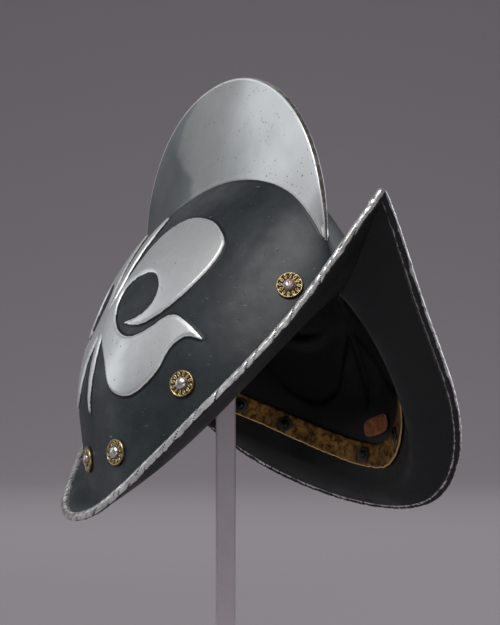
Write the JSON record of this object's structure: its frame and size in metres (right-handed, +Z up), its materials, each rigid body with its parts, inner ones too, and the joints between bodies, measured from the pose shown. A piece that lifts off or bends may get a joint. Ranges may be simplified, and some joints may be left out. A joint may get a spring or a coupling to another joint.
{
  "type": "morion helmet on display stand",
  "caption": "Black and bright steel morion helmet with a tall comb, two pointed peaks and embossed lilies, tilted on a plain post stand.",
  "frame": {"origin": "middle of the underside of the stand's round foot, on the post's axis", "axes": "+Z up the post, -Y towards the helmet's front peak, +X towards the wearer's left side"},
  "size_m": [0.2376, 0.3415, 0.4603],
  "materials": {
    "black_paint": "semi-gloss, worn at edges",
    "bright_steel": "polished, pitted",
    "brass": "aged satin",
    "dark_steel": "dull",
    "lining_leather": "worn, dry",
    "patch_leather": "worn",
    "grey_paint": "matt"
  },
  "bodies": {
    "root": {"skull": "black_paint", "lining_band": "lining_leather", "leather_patch": "patch_leather", "crown_pad": "grey_paint", "post": "grey_paint", "foot": "grey_paint", "rosette_left_1": "brass", "rosette_left_2": "brass", "rosette_left_3": "brass", "rosette_left_4": "brass", "rosette_left_5": "brass", "rosette_left_6": "brass", "rosette_right_1": "brass", "rosette_right_2": "brass", "rosette_right_3": "brass", "rosette_right_4": "brass", "rosette_right_5": "brass", "rosette_right_6": "brass", "rivet_left_1": "bright_steel", "rivet_left_2": "bright_steel", "rivet_left_3": "bright_steel", "rivet_left_4": "bright_steel", "rivet_left_5": "bright_steel", "rivet_left_6": "bright_steel", "rivet_right_1": "bright_steel", "rivet_right_2": "bright_steel", "rivet_right_3": "bright_steel", "rivet_right_4": "bright_steel", "rivet_right_5": "bright_steel", "rivet_right_6": "bright_steel", "inner_washer_left_1": "dark_steel", "inner_washer_left_2": "dark_steel", "inner_washer_left_3": "dark_steel", "inner_washer_left_4": "dark_steel", "inner_washer_left_5": "dark_steel", "inner_washer_left_6": "dark_steel", "inner_washer_right_1": "dark_steel", "inner_washer_right_2": "dark_steel", "inner_washer_right_3": "dark_steel", "inner_washer_right_4": "dark_steel", "inner_washer_right_5": "dark_steel", "inner_washer_right_6": "dark_steel"}
  },
  "joints": []
}
